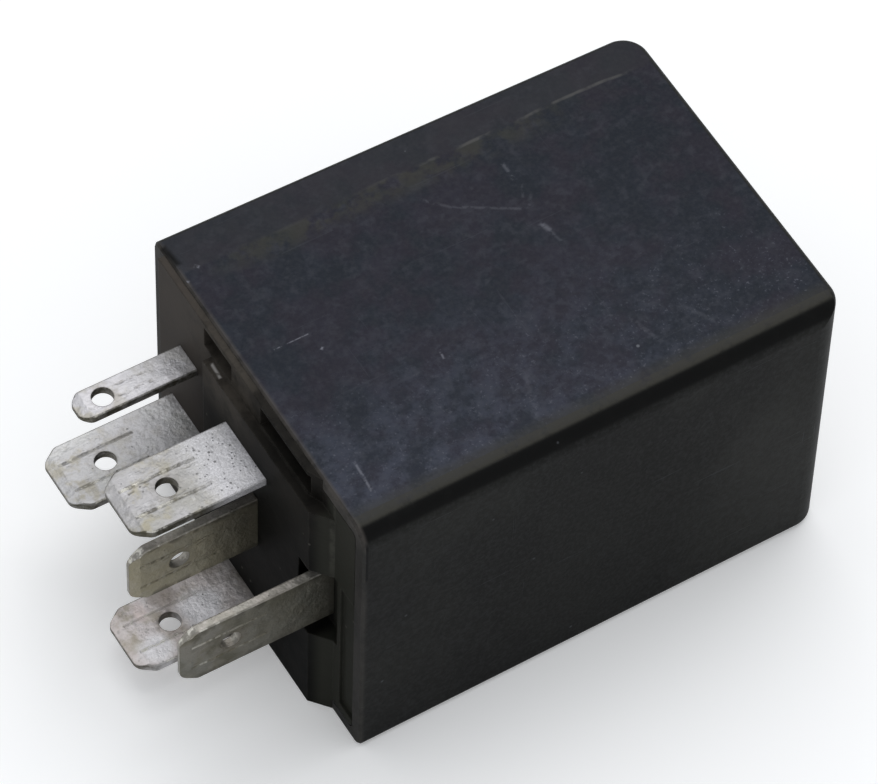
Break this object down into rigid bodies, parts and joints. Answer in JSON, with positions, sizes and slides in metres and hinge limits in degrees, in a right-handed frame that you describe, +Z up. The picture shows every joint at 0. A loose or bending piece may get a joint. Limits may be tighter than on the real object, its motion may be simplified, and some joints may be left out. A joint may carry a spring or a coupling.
{
  "type": "automotive relay",
  "caption": "Long-bodied plug-in automotive relay with a black moulded cover, a recessed blade base, flat and on-edge blades, and a working armature inside.",
  "frame": {"origin": "on the surface the relay lies on, under the middle of its length and width, blades included", "axes": "+X along the length from the blade tips towards the closed end of the cover; +Y across, towards the side with the narrow blade; +Z up"},
  "size_m": [0.0556, 0.032, 0.029],
  "materials": {
    "cover_plastic": "fine matt moulded black with dust and scratches",
    "base_plastic": "matt moulded black",
    "narrow_tin": "tinned brass, dulled, brass showing at the edges",
    "back_tin": "tinned brass, dulled, brass showing at the edges",
    "top_tin": "tinned brass, dulled, brass showing at the edges",
    "centre_tin": "tinned brass, dulled, brass showing at the edges",
    "bottom_tin": "tinned brass, dulled, brass showing at the edges",
    "front_tin": "tinned brass, dulled, brass showing at the edges",
    "board_laminate": "bare brown paper laminate",
    "bobbin_plastic": "natural moulded plastic",
    "coil_wire": "enamelled copper wire, wound close",
    "core_iron": "dull plated iron",
    "yoke_iron": "dull plated iron",
    "armature_iron": "dull plated iron",
    "spring_steel": "drawn spring wire",
    "leaf_copper": "rolled spring copper",
    "rivet_steel": "plated",
    "silver_moving": "silver alloy",
    "silver_make": "silver alloy",
    "silver_break": "silver alloy",
    "pin_tin": "tinned",
    "can_sleeve": "shrunk dark sleeve",
    "chip_epoxy": "moulded epoxy",
    "transistor_epoxy": "moulded epoxy",
    "resistor_lacquer": "lacquer",
    "diode_epoxy": "moulded epoxy",
    "film_case": "dipped resin",
    "solder": "set solder"
  },
  "bodies": {
    "housing": {"cover": "cover_plastic", "base": "base_plastic", "narrow_blade": "narrow_tin", "back_blade": "back_tin", "top_blade": "top_tin", "centre_blade": "centre_tin", "bottom_blade": "bottom_tin", "front_blade": "front_tin", "circuit_board": "board_laminate", "coil_bobbin": "bobbin_plastic", "coil_winding": "coil_wire", "iron_core": "core_iron", "yoke": "yoke_iron", "return_spring": "spring_steel", "make_contact": "silver_make", "break_contact": "silver_break", "coil_pins": "pin_tin", "timing_capacitor": "can_sleeve", "control_chip": "chip_epoxy", "transistor": "transistor_epoxy", "resistors": "resistor_lacquer", "diode": "diode_epoxy", "film_capacitor": "film_case", "solder_joints": "solder"},
    "rocker": {"armature": "armature_iron", "contact_spring": "leaf_copper", "leaf_rivets": "rivet_steel", "moving_contact": "silver_moving"}
  },
  "joints": [
    {"name": "armature_swing", "type": "hinge", "parent": "housing", "child": "rocker", "pos_m": [0.01295, -0.01075, 0.0127], "axis": [0, 0, 1], "range_deg": [0, 4.6], "stiffness_Nm_per_rad": 0.002, "springref_deg": -28.65, "deforming": ["return_spring"]}
  ]
}
